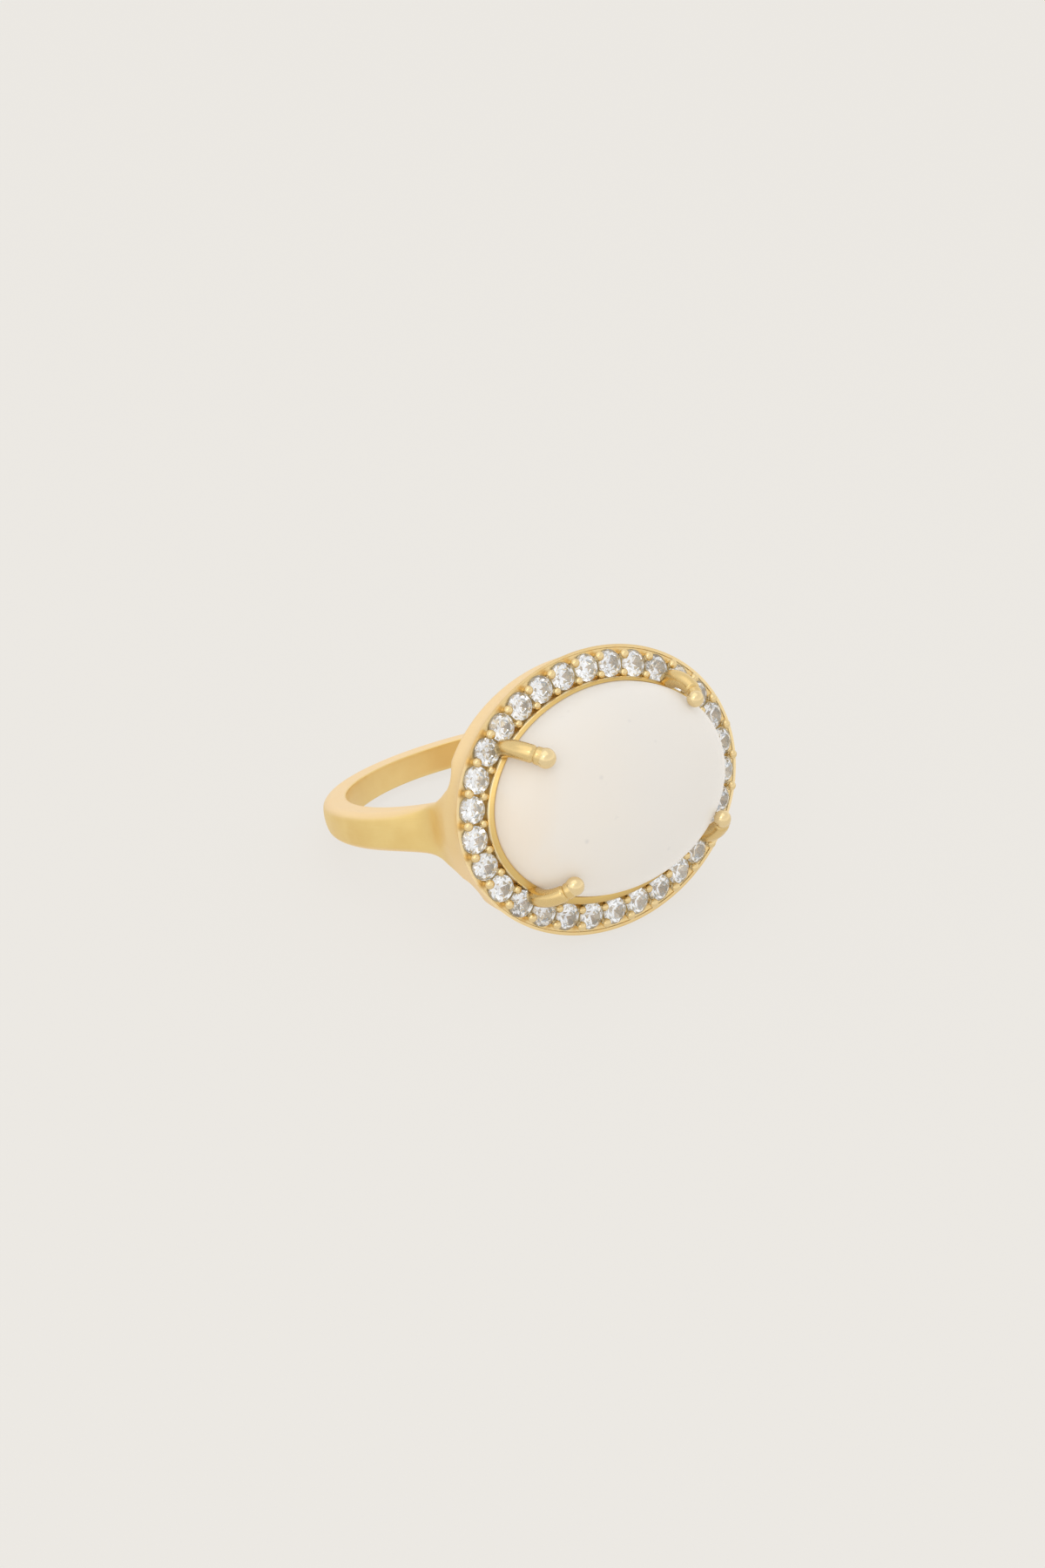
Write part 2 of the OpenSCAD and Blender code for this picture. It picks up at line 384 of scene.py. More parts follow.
@dataclass
class Wiring:
    """A node tree, with short ways to add and join its nodes."""

    tree: bpy.types.NodeTree

    def add(self, kind: str, **values: object) -> bpy.types.Node:
        """Adds a shader node and sets its properties and sockets.

        Args:
            kind: The node's type, without the ShaderNode prefix.
            values: Properties of the node, or socket values by their names with underscores.

        Returns:
            The node.
        """
        node = self.tree.nodes.new(f"ShaderNode{kind}")
        for key, value in values.items():
            if hasattr(node, key):
                setattr(node, key, value)
            else:
                node.inputs[key.replace("_", " ")].default_value = value
        return node

    def link(self, source: Socket, goal: Socket) -> None:
        """Joins two sockets."""
        self.tree.links.new(source, goal)

    def mask(self, name: str) -> Socket:
        """Reads one of the piece's own layers."""
        return self.add("Attribute", attribute_name=name).outputs["Fac"]

    def noise(self, place: Socket, **values: float) -> Socket:
        """Adds a noise pattern.

        Args:
            place: The place that it reads.
            values: Its socket values.

        Returns:
            Its strength.
        """
        node = self.add("TexNoise", **values)
        self.link(place, node.inputs["Vector"])
        return node.outputs["Fac"]

    def spread(self, value: Socket, **ends: float) -> Socket:
        """Maps a value from one range to another.

        Args:
            value: The value.
            ends: The ends of the two ranges, 0 and 1 where they aren't given.

        Returns:
            The mapped value.
        """
        node = self.add("MapRange", **ends)
        self.link(value, node.inputs["Value"])
        return node.outputs["Result"]

    def reckon(self, operation: str, first: Socket, second: Socket) -> Socket:
        """Works out one value from two.

        Args:
            operation: What a Math node does with them.
            first: The first value.
            second: The second value.

        Returns:
            The result.
        """
        node = self.add("Math", operation=operation)
        self.link(first, node.inputs[0])
        self.link(second, node.inputs[1])
        return node.outputs["Value"]

    def colour(self, ramp: Ramp, value: Socket) -> Socket:
        """Turns a value into a colour.

        Args:
            ramp: The colours.
            value: The value, from 0 to 1.

        Returns:
            The colour.
        """
        node = self.add("ValToRGB")
        elements = node.color_ramp.elements
        while len(elements) < len(ramp.stops):
            elements.new(0.5)
        for element, (place, colour) in zip(elements, ramp.stops):
            element.position = place
            element.color = (*colour, 1)
        self.link(value, node.inputs["Fac"])
        return node.outputs["Color"]

    def layer(self, amount: Socket, below: Socket, colour: Colour) -> Socket:
        """Lays a colour over another one.

        Args:
            amount: How much of it shows.
            below: The colour below.
            colour: The colour on top.

        Returns:
            The mixed colour.
        """
        node = self.add("Mix", data_type="RGBA")
        self.link(amount, node.inputs[0])
        self.link(below, node.inputs[6])
        node.inputs[7].default_value = (*colour, 1)
        return node.outputs[2]


@dataclass
class Finish(Wiring):
    """A node material under construction."""

    material: bpy.types.Material

    @classmethod
    def named(cls, name: str) -> Finish:
        """Starts a material with an empty node tree.

        Args:
            name: The material's name.

        Returns:
            The finish.
        """
        material = bpy.data.materials.new(name)
        material.use_nodes = True
        material.node_tree.nodes.clear()
        return cls(material.node_tree, material)

    def own_place(self, pose: RestPose) -> Socket:
        """Turns object coordinates into the ring's frame, in millimetres.

        Args:
            pose: The ring's rest pose.

        Returns:
            The place in the ring's frame.
        """
        place = self.add("TexCoord")
        own = self.add(
            "Mapping", vector_type="TEXTURE", Location=pose.place, Rotation=(pose.lean, 0, 0),
            Scale=(MM, MM, MM),
        )
        self.link(place.outputs["Object"], own.inputs["Vector"])
        return own.outputs["Vector"]

    def close(self, shader: bpy.types.Node) -> bpy.types.Material:
        """Joins the shader to the material's output.

        Args:
            shader: The finished shader.

        Returns:
            The material.
        """
        out = self.add("OutputMaterial")
        self.link(shader.outputs["BSDF"], out.inputs["Surface"])
        return self.material


@dataclass
class BrushedSurface:
    """Node group for fine brushing, cloudy tone and small pits, shared by the metals."""

    name: str = "brushed surface"
    tree: bpy.types.NodeTree = field(init=False)

    def __post_init__(self) -> None:
        """Builds the group once."""
        self.tree = bpy.data.node_groups.new(self.name, "ShaderNodeTree")
        for label, kind in (("Place", "Vector"), ("Stretch", "Vector"), ("Polish", "Float")):
            self.tree.interface.new_socket(label, in_out="INPUT", socket_type=f"NodeSocket{kind}")
        for label in ("Tone", "Scatter", "Height"):
            self.tree.interface.new_socket(label, in_out="OUTPUT", socket_type="NodeSocketFloat")
        wires = Wiring(self.tree)
        enter, leave = self.tree.nodes.new("NodeGroupInput"), self.tree.nodes.new("NodeGroupOutput")
        stretched = wires.add("VectorMath", operation="MULTIPLY")
        wires.link(enter.outputs["Place"], stretched.inputs[0])
        wires.link(enter.outputs["Stretch"], stretched.inputs[1])
        lines = wires.noise(stretched.outputs[0], Scale=1.0, Detail=3.0, Roughness=0.6)
        cloud = wires.noise(enter.outputs["Place"], Scale=0.55, Detail=2.0, Roughness=0.5)
        wires.link(wires.spread(cloud, From_Min=0.3, From_Max=0.7), leave.inputs["Tone"])
        matte = wires.add("Math", operation="SUBTRACT")
        matte.inputs[0].default_value = 1.0
        wires.link(enter.outputs["Polish"], matte.inputs[1])
        for goal, low, high in (("Scatter", 0.25, 0.75), ("Height", 0.0, 1.0)):
            strength = wires.spread(lines, From_Min=low, From_Max=high)
            wires.link(wires.reckon("MULTIPLY", strength, matte.outputs["Value"]), leave.inputs[goal])


@dataclass(frozen=True)
class GoldFinish:
    """Satin or polished yellow gold, on which masks lay painted light, painted shade and a painted highlight.
    """

    name: str
    grain: Grain
    deep: Colour = (0.84, 0.61, 0.24)
    mellow: Colour = (0.89, 0.68, 0.29)
    # The three colours below are painted light, a painted highlight for polished places and painted shade.
    pale: Colour = (0.95, 0.73, 0.43)
    bright: Colour = (0.95, 0.81, 0.54)
    painted_shade_colour: Colour = (0.70, 0.49, 0.18)
    rough: float = 0.43
    scatter: float = 0.06
    polished_rough: float = 0.14
    relief: float = 0.35
    relief_depth: float = 0.02

    def build(self, brushing: BrushedSurface, pose: RestPose) -> bpy.types.Material:
        """Makes the material.

        Args:
            brushing: The shared node group.
            pose: The ring's rest pose, which turns object coordinates into the ring's frame.

        Returns:
            The material.
        """
        finish = Finish.named(self.name)
        polish_and_highlight = finish.mask("polish_and_highlight")
        brush = finish.tree.nodes.new("ShaderNodeGroup")
        brush.node_tree = brushing.tree
        brush.inputs["Stretch"].default_value = self.grain.value
        finish.link(finish.own_place(pose), brush.inputs["Place"])
        finish.link(polish_and_highlight, brush.inputs["Polish"])
        tint = finish.colour(Ramp(((0.0, self.deep), (1.0, self.mellow))), brush.outputs["Tone"])
        # The masks lay painted light, painted shade and, where the metal is polished, a painted highlight
        # over the gold's own cloudy tone.
        for name, colour in (("pale", self.pale), ("painted_shade", self.painted_shade_colour), ("polish_and_highlight", self.bright)):
            tint = finish.layer(finish.mask(name), tint, colour)
        low, high = self.rough - self.scatter, self.rough + self.scatter
        gloss = finish.add("Mix", data_type="FLOAT")
        finish.link(polish_and_highlight, gloss.inputs[0])
        finish.link(finish.spread(brush.outputs["Scatter"], To_Min=low, To_Max=high), gloss.inputs[2])
        gloss.inputs[3].default_value = self.polished_rough
        bump = finish.add("Bump", Strength=self.relief, Distance=self.relief_depth * MM)
        finish.link(brush.outputs["Height"], bump.inputs["Height"])
        shader = finish.add("BsdfPrincipled", Metallic=1.0)
        finish.link(tint, shader.inputs["Base Color"])
        finish.link(gloss.outputs[0], shader.inputs["Roughness"])
        finish.link(bump.outputs["Normal"], shader.inputs["Normal"])
        return finish.close(shader)


@dataclass(frozen=True)
class MoonstoneFinish:
    """Milky moonstone: warm at its near end, cool in the middle, with faint veils and specks."""

    name: str = "milky moonstone"
    warm: Colour = (0.59, 0.525, 0.445)
    white: Colour = (0.58, 0.545, 0.498)
    cool: Colour = (0.562, 0.54, 0.51)
    speck: Colour = (0.34, 0.33, 0.34)
    # The stone's emission is a painted glow.
    glow: float = 0.45

    def build(self, pose: RestPose, dome: Dome) -> bpy.types.Material:
        """Makes the material.

        Args:
            pose: The ring's rest pose.
            dome: The stone's surface, which sets the length of the colour's change.

        Returns:
            The material.
        """
        finish = Finish.named(self.name)
        own = finish.own_place(pose)
        split = finish.add("SeparateXYZ")
        finish.link(own, split.inputs["Vector"])
        end = dome.edge.half_length
        along = finish.spread(split.outputs["X"], From_Min=-end, From_Max=end)
        veil = finish.noise(own, Scale=0.16, Detail=3.0, Roughness=0.55, Distortion=0.6)
        drift = finish.spread(veil, From_Min=0.3, From_Max=0.7, To_Min=-0.1, To_Max=0.1)
        stops = ((0.0, self.warm), (0.2, self.white), (0.55, self.cool), (0.92, self.cool), (1.0, self.white))
        milk = finish.colour(Ramp(stops), finish.reckon("ADD", along, drift))
        spots = finish.add("TexVoronoi", Scale=0.52, Randomness=1.0)
        finish.link(own, spots.inputs["Vector"])
        near = finish.spread(spots.outputs["Distance"], From_Min=0.0, From_Max=0.1, To_Min=0.35, To_Max=0.0)
        cloud = finish.noise(own, Scale=1.0, Detail=5.0, Roughness=0.6)
        smudge = finish.spread(cloud, From_Min=0.69, From_Max=0.8, To_Min=0.0, To_Max=0.3)
        body = finish.layer(finish.reckon("MAXIMUM", near, smudge), milk, self.speck)
        # The emission paints a glow on the stone, which stands in for light passing through it and lightens
        # its contact shade.
        shader = finish.add(
            "BsdfPrincipled", Roughness=0.38, IOR=1.45, Subsurface_Weight=0.4,
            Subsurface_Radius=(1.0, 0.9, 0.8), Subsurface_Scale=0.9 * MM, Emission_Strength=self.glow,
        )
        finish.link(body, shader.inputs["Base Color"])
        finish.link(body, shader.inputs["Emission Color"])
        return finish.close(shader)


@dataclass(frozen=True)
class BrilliantFinish:
    """Clear white cut stone with painted sparkle: each facet gets a random darker or lighter tint for its
    reflections and a painted glow for its glints.
    """

    name: str = "clear brilliant"
    # Tints for painted reflections, from darker to lighter facets.
    shade: Colour = (0.56, 0.565, 0.59)
    warm: Colour = (0.65, 0.635, 0.63)
    white: Colour = (0.70, 0.705, 0.73)
    # The glints are a painted glow of the facets, with a faint haze on all of them.
    glints: Pairs = ((0.0, 0.35), (0.4, 0.38), (0.65, 0.5), (1.0, 1.0))
    glint_tint: Colour = (0.9, 0.96, 1.0)
    glint_level: float = 0.14

    def build(self) -> bpy.types.Material:
        """Makes the material.

        Returns:
            The material.
        """
        finish = Finish.named(self.name)
        tone = finish.mask("painted_facet_sparkle")
        body = Ramp(((0.0, self.shade), (0.35, self.warm), (0.6, self.white), (1.0, self.white)))
        glint = Ramp.tinted(self.glints, self.glint_tint)
        shader = finish.add("BsdfPrincipled", Roughness=0.0, IOR=2.0, Transmission_Weight=1.0)
        finish.link(finish.colour(body, tone), shader.inputs["Base Color"])
        finish.link(finish.colour(glint, tone), shader.inputs["Emission Color"])
        shader.inputs["Emission Strength"].default_value = self.glint_level
        return finish.close(shader)


# The pieces


@dataclass
class Bench:
    """Joins and carves closed meshes, and turns them into pieces of the ring in its rest pose."""

    pose: RestPose

    def boolean(self, body: BMesh, tool: BMesh, operation: str) -> BMesh:
        """Joins two closed meshes, or carves one out of the other.

        Args:
            body: The mesh that is kept. It is freed.
            tool: The mesh that is added or taken away. It is freed.
            operation: UNION or DIFFERENCE.

        Returns:
            The result, in the same millimetres.
        """
        parts = [add_shape("body", body), add_shape("tool", tool)]
        step = parts[0].modifiers.new(operation, "BOOLEAN")
        step.operation, step.solver, step.object = operation, "EXACT", parts[1]
        result = bmesh.new()
        result.from_object(parts[0], bpy.context.evaluated_depsgraph_get())
        for part in parts:
            data = part.data
            bpy.data.objects.remove(part)
            bpy.data.meshes.remove(data)
        return result

    def lay(
        self, name: str, mesh: BMesh, look: bpy.types.Material, nodes: list[str],
        sharp: float = 40.0,
    ) -> None:
        """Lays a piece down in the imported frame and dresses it.

        Args:
            name: The piece's name.
            mesh: Its shape, in the ring's frame and in millimetres. It is freed.
            look: Its material.
            nodes: The CAD nodes that it stands for.
            sharp: Edges that bend more than this angle, in degrees, stay crisp.
        """
        mesh.normal_update()
        for face in mesh.faces:
            face.smooth = sharp > 0
        for edge in mesh.edges:
            edge.smooth = len(edge.link_faces) == 2 and edge.calc_face_angle(0.0) < math.radians(sharp)
        bmesh.ops.transform(mesh, matrix=self.pose.matrix, verts=mesh.verts)
        piece = add_shape(name, mesh)
        piece.data.materials.append(look)
        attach(piece, "root")
        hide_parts(*nodes)
        log.info("%s: %d faces", name, len(piece.data.polygons))


@dataclass
class Shank:
    """The band with its two shoulders, which rise and widen into the head."""

    bore: float = 8.6
    thick: float = 1.32
    width_back: float = 1.56
    width_side: float = 2.08
    side_turn: float = 90.0
    widest_turn: float = 125.0
    growth: float = 1.5
    splay: float = 0.16
    drop: float = 0.1
    drop_turn: float = 60.0
    crown: float = 0.22
    crown_loss: float = 0.4
    crown_span: Span = (30.0, 90.0)
    outer_round: float = 0.42
    inner_round: float = 0.07
    long_edge: float = 0.5
    cuts: int = 11
    kept_depth: float = 0.5
    flat: float = 0.6
    shoulder_start: float = 116.0
    shoulder_end: float = 131.0
    shoulder_top: float = 12.596
    flare_start: float = 96.0
    flare: float = 1.7
    under_head: float = 9.4
    foot: Oval = Oval(9.53, 7.56)
    foot_height: float = FOOT_HEIGHT
    fillet: float = 1.15
    fillet_span: Span = (7.6, 8.8)
    blend: float = 0.5
    end_start: float = 8.0
    end_below: float = 2.0
    end_slope: float = 0.12
    end_tuck: float = 0.3
    end_soft: float = 0.1
    steps: int = 360

    def width(self, turn: float) -> float:
        """The inner face's width at a turn from the back, in degrees."""
        share = (min(turn, self.widest_turn) / self.side_turn) ** self.growth
        return self.width_back + (self.width_side - self.width_back) * share

    def gain(self, turn: float) -> float:
        """How much wider the outer face is than the inner face at a turn from the back, in degrees."""
        near = max(0.0, 1 - abs(turn - self.shoulder_end) / (self.shoulder_end - self.flare_start))
        return self.splay + self.flare * near**3

    def outer(self, turn: float) -> float:
        """The outer face's radius.

        Args:
            turn: The turn from the back, in degrees.

        Returns:
            The radius there.
        """
        if turn < self.shoulder_end:
            rise = max(0.0, (turn - self.shoulder_start) / (self.shoulder_end - self.shoulder_start))
            base = self.bore + self.thick
            return base + (self.shoulder_top - base) * rise**3
        return min(self.shoulder_top, self.under_head / -math.cos(math.radians(turn)))

    def section(self) -> BMesh:
        """Draws the band's section at its back.

        Returns:
            A closed loop of edges with rounded corners.
        """
        mesh = bmesh.new()
        low, high = self.bore, self.bore + self.thick
        corners = [(-1, low), (-1, high), (1, high), (1, low)]
        mesh.faces.new([mesh.verts.new((0, y, -r)) for y, r in corners])
        for outside, size, segments in ((True, self.outer_round, 6), (False, self.inner_round, 3)):
            picked = [v for v in mesh.verts if (-v.co.z > low + self.thick / 2) == outside]
            bmesh.ops.bevel(
                mesh, geom=picked, offset=size, segments=segments, profile=0.5, affect="VERTICES", material=-1
            )
        long_edges = [e for e in mesh.edges if e.calc_length() > self.long_edge]
        bmesh.ops.subdivide_edges(mesh, edges=long_edges, cuts=self.cuts)
        bmesh.ops.delete(mesh, geom=mesh.faces[:], context="FACES_ONLY")
        return mesh

    def place(self, spot: Vector) -> Vector:
        """Moves a point of the plain spun ring to its place on the shaped band.

        Args:
            spot: The point on the plain ring, whose half width is 1.

        Returns:
            The point's place on the band.
        """
        lean = abs(math.atan2(spot.x, -spot.z))
        turn = math.degrees(lean)
        depth = self.bore + self.thick - math.hypot(spot.x, spot.z)
        outer = self.outer(turn)
        if depth < self.kept_depth:
            radius = outer - depth
        else:
            shallow = (self.thick - depth) / (self.thick - self.kept_depth)
            radius = self.bore + (outer - self.kept_depth - self.bore) * shallow
        share = (radius - self.bore) / (outer - self.bore)
        half = (self.width(turn) + self.gain(turn) * share) / 2
        across, flat = abs(spot.y), self.flat
        y = half - (1 - across) if across > flat else (half - (1 - flat)) * across / flat
        crown = self.crown * (1 - self.crown_loss * smooth_step(*self.crown_span, turn))
        radius += crown * share * (1 - (y / half) ** 2)
        x, z = radius * math.sin(lean), -radius * math.cos(lean)
        above = z - self.foot_height
        past_foot = smooth_step(0.0, self.blend, above)
        if x > self.fillet_span[0] and above > -self.fillet:
            rise = min(self.fillet, above + self.fillet)
            swell = self.fillet - math.sqrt(self.fillet**2 - rise**2)
            y += swell * (y / half) ** 2 * smooth_step(*self.fillet_span, x) * (1 - past_foot)
        if x > self.end_start and above > -self.end_below:
            limit = self.foot.reach(y) + self.end_slope * max(0.0, -above) - self.end_tuck * past_foot
            x = soft_min(x, limit + self.end_slope * (x - limit), self.end_soft)
        y = math.copysign(y, spot.y) - self.drop * min(1.0, turn / self.drop_turn) * share
        return Vector((math.copysign(x, spot.x), y, z))

    def build(self) -> BMesh:
        """Spins the band round the finger axis and shapes it.

        Returns:
            The closed band.
        """
        mesh = self.section()
        spin_round(mesh, (0, 1, 0), self.steps)
        for v in mesh.verts:
            v.co = self.place(v.co)
        bmesh.ops.recalc_face_normals(mesh, faces=mesh.faces)
        return mesh


@dataclass
class Head:
    """The flared oval head: its wall, rim, stone channel and the lip round the moonstone.

    Its outlines say for each point how far it lies outside an oval and how far over a height.
    In foot_edge the first number is in shares of the draw, and in lip_top the middle one is the
    share of the moonstone's shift that the point takes part in.
    """

    plan: HaloPlan
    dome: Dome
    rim: Oval = Oval(10.11, 8.14)
    rim_height: float = 10.58
    rim_width: float = 0.17
    rim_inside: Pairs = ((0.0, 0.0), (-0.01, -0.03))
    rim_draft: float = 0.04
    foot_height: float = FOOT_HEIGHT
    foot_edge: Pairs = ((-1.3, 0.0), (-1.12, 0.04), (-1.03, 0.14))
    hollow_height: float = 9.3
    hollow_draft: float = 0.22
    hollow_edge: Pairs = ((-0.12, 0.06), (-0.06, 0.0))
    draw: float = 0.52
    draw_low: float = 0.3
    draw_power: float = 2.6
    lip_height: float = 11.4
    lip_side: Pairs = ((0.0, -0.42), (0.05, -0.34), (0.06, -0.28), (0.035, -0.22), (-0.01, -0.17))
    lip_top: Triples = ((0.13, 0.5, -0.02), (0.09, 0.7, 0.0), (0.02, 1.0, -0.01), (0.0, 1.0, -0.05))
    fit: float = FIT
    sunk: float = 0.05
    spin_steps: int = 240
    wall_rows: int = 18
    edge_round: float = 0.035
    crisp_angle: float = 50.0
    seat_depth: float = 0.76
    seat_wall: float = 0.1
    seat_tip: float = 0.02
    seat_trim: float = 0.004
    seat_sides: int = 32

    def draw_share(self, height: float) -> float:
        """How much of the draw the wall has at a height above its foot: 1 low down, 0 at the rim."""
        high = self.rim_height - self.foot_height
        return 1 - max(0.0, (height - self.draw_low) / (high - self.draw_low)) ** self.draw_power

    def rows(self) -> list[tuple[Oval, float]]:
        """The head's section from the hollow round the outside to the moonstone's pocket.

        Returns:
            Rows of the oval and its height.
        """
        pocket = self.dome.edge.grown(self.fit)
        hollow = Oval(pocket.half_length, pocket.half_width)
        rows = [(hollow.grown(-self.hollow_draft), self.hollow_height)]
        rows += [(hollow.grown(by), self.foot_height + lift) for by, lift in self.hollow_edge]
        for share, lift in self.foot_edge:
            rows.append((self.rim.grown(share * self.draw), self.foot_height + lift))
        low, top = self.foot_edge[-1][1], self.rim_height - self.foot_height
        for k in range(1, self.wall_rows):
            height = low + (top - low) * k / self.wall_rows
            rows.append((self.rim.grown(-self.draw * self.draw_share(height)), self.foot_height + height))
        rows.append((self.rim, self.rim_height))
        inner = self.rim.grown(-self.rim_width)
        rows += [(inner.grown(by), self.rim_height + lift) for by, lift in self.rim_inside]
        lip = self.plan.line.grown(-self.plan.channel_half)
        floor = self.plan.floor_height - self.sunk
        rows += [(inner.grown(-self.rim_draft), floor), (lip, floor)]
        rows += [(lip.grown(by), self.lip_height + lift) for by, lift in self.lip_side]
        for by, share, lift in self.lip_top:
            edge = Oval(pocket.half_length + by, pocket.half_width + by, pocket.shift * share)
            rows.append((edge, self.lip_height + lift))
        rows.append((pocket, self.dome.base_height - self.fit))
        return rows

    def crisp(self, edge: bmesh.types.BMEdge) -> bool:
        """Tells the level sharp edges of rim and lip, which get a bevel, from the others.

        Args:
            edge: An edge of the head.

        Returns:
            Whether it gets a bevel.
        """
        if len(edge.link_faces) != 2 or edge.calc_face_angle(0.0) <= math.radians(self.crisp_angle):
            return False
        low, high = sorted(v.co.z for v in edge.verts)
        return high - low < 1e-4 and edge.verts[0].co.z > self.plan.floor_height + self.sunk

    def build(self) -> BMesh:
        """Spins the head round and draws it out to its ovals.

        Returns:
            The closed head, without the seats of the halo stones.
        """
        mesh = bmesh.new()
        rows = self.rows()
        number = mesh.verts.layers.int.new("row")
        first = [mesh.verts.new((oval.half_length, 0, height)) for oval, height in rows]
        for k, v in enumerate(first):
            v[number] = k
        for a, b in zip(first, first[1:]):
            mesh.edges.new((a, b))
        spin_round(mesh, (0, 0, 1), self.spin_steps)
        for v in mesh.verts:
            oval, height = rows[v[number]]
            v.co = oval.point(math.atan2(v.co.y, v.co.x), height)
        mesh.verts.layers.int.remove(number)
        for height in (self.hollow_height, self.dome.base_height - self.fit):
            ring = [e for e in open_edges(mesh) if abs(e.verts[0].co.z - height) < 1e-3]
            bmesh.ops.holes_fill(mesh, edges=ring, sides=0)
        crisp = [e for e in mesh.edges if self.crisp(e)]
        bmesh.ops.bevel(
            mesh, geom=crisp, offset=self.edge_round, segments=3, profile=0.5, affect="EDGES", material=-1,
            clamp_overlap=True,
        )
        bmesh.ops.recalc_face_normals(mesh, faces=mesh.faces)
        return mesh

    def seats(self) -> BMesh:
        """Makes the cones with short straight walls that are cut in the channel for the stones.

        Returns:
            All the cones in one closed mesh.
        """
        mesh = bmesh.new()
        depth = self.seat_depth
        for step in range(self.plan.count):
            middle, seat = self.plan.stone(step), self.plan.seat(step)
            made = bmesh.ops.create_cone(
                mesh, cap_ends=True, segments=self.seat_sides, depth=depth,
                radius1=self.seat_tip, radius2=self.plan.stone_radius - self.seat_trim,
                matrix=seat @ Matrix.Translation((0, 0, -depth / 2)),
            )["verts"]
            tops = {v for v in made if v.co.z > middle.z - depth / 2}
            cap = [f for f in {f for v in tops for f in v.link_faces} if all(v in tops for v in f.verts)]
            grown = bmesh.ops.extrude_face_region(mesh, geom=cap)["geom"]
            bmesh.ops.delete(mesh, geom=cap, context="FACES_ONLY")
            lift = seat.to_3x3() @ Vector((0, 0, self.seat_wall))
            bmesh.ops.translate(mesh, verts=verts_of(grown), vec=lift)
        bmesh.ops.recalc_face_normals(mesh, faces=mesh.faces)
        return mesh


@dataclass
class MountPolishAndPaintedLight:
    """Where the mount's surface is polished and carries a painted highlight, where it gets painted light and
    where painted shade, and how much, from 0 to 1.
    """

    head: Head
    bore: float
    inside_share: float = 0.87
    rim_share: float = 0.972
    rim_skin: float = 0.05
    lip_drop: float = 0.36
    line_drop: float = 0.2
    channel_shares: Span = (0.7, 0.985)
    channel_drop: float = 0.6
    bore_skin: float = 0.04
    bore_half: float = 2.5
    broad_span: Span = (4.0, 7.5)
    line_polish_and_highlight: float = 0.75
    # Amounts of polish with a painted highlight.
    rim_polish_and_highlight: float = 0.35
    broad_loss: float = 0.2
    inner_polish_and_painted_light: float = 0.15
    # Amounts of painted shade.
    lip_painted_shade: float = 0.65
    channel_painted_shade: float = 0.15
    rim_painted_shade: float = 0.05
    near_painted_shade: float = 0.85
    far_painted_shade: float = 0.55
    # Amounts and spans of painted light.
    bore_painted_light: float = 0.9
    bore_rise: Span = (1.0, 7.0)
    channel_painted_light: float = 0.4
    side_facing: Span = (0.2, 0.85)
    side_depth: Span = (0.02, 0.1)
    wall_painted_light: float = 0.5
    wall_gain: float = 0.45
    wall_facing: Span = (0.3, 0.9)
    wall_near: Span = (0.0, 2.5)
    wall_rise: Span = (6.6, 9.0)

    def outside_painted_light(self, spot: Vector, facing: float, depth: float) -> float:
        """How much painted light the band's sides and the head's wall get.

        Args:
            spot: A point of the surface.
            facing: How much the surface faces along the finger there.
            depth: How far the point is outside the bore.

        Returns:
            The paleness.
        """
        side = smooth_step(*self.side_facing, abs(facing)) * smooth_step(*self.side_depth, depth)
        turned = max(smooth_step(*self.wall_facing, facing), smooth_step(*self.wall_near, -spot.y))
        wall = self.wall_painted_light + self.wall_gain * turned
        return side + (wall - side) * smooth_step(*self.wall_rise, spot.z)

    def at(self, spot: Vector, facing: float) -> tuple[float, float, float]:
        """The polish, painted light and painted shade at a point of the surface.

        Args:
            spot: The point.
            facing: How much the surface faces along the finger there.

        Returns:
            How much polish with painted highlight, how much painted light and how much painted shade the
            surface gets.
        """
        head = self.head
        depth = math.hypot(spot.x, spot.z) - self.bore
        out = math.hypot(spot.x / head.rim.half_length, spot.y / head.rim.half_width)
        lip_foot = head.lip_height - self.lip_drop
        on_line = out < self.inside_share and lip_foot < spot.z < head.lip_height - self.line_drop
        on_lip = out < self.inside_share and spot.z > lip_foot and not on_line
        on_rim = out > self.rim_share and spot.z > head.rim_height - self.rim_skin
        in_ring = self.channel_shares[0] < out < self.channel_shares[1]
        in_channel = in_ring and head.plan.floor_height - self.channel_drop < spot.z < lip_foot
        in_bore = depth < self.bore_skin and abs(spot.y) < self.bore_half
        broad = smooth_step(*self.broad_span, abs(spot.y))
        side_painted_shade = self.near_painted_shade if spot.y < 0 else self.far_painted_shade
        # Polish with a painted highlight: strong on the lip's line, less on the rim and least on its near and
        # far sides; a little in the channel and bore, where it also paints light.
        if on_line:
            polish_and_highlight = self.line_polish_and_highlight
        elif on_rim:
            polish_and_highlight = self.rim_polish_and_highlight - self.broad_loss * broad
        else:
            polish_and_highlight = self.inner_polish_and_painted_light if in_channel or in_bore else 0.0
        # Painted shade: on the lip, lightly in the channel, and on the rim's near and far sides, most on the
        # near side.
        if on_lip:
            painted_shade = self.lip_painted_shade
        elif in_channel:
            painted_shade = self.channel_painted_shade
        else:
            painted_shade = self.rim_painted_shade + side_painted_shade * broad if on_rim else 0.0
        # Painted light: up the bore towards the head, in the channel, and on the band's sides and the head's
        # wall.
        if in_bore:
            pale = self.bore_painted_light * smooth_step(*self.bore_rise, spot.z)
        elif in_channel:
            pale = self.channel_painted_light
        else:
            pale = 0.0 if on_lip or on_line else self.outside_painted_light(spot, facing, depth)
        return polish_and_highlight, pale, painted_shade


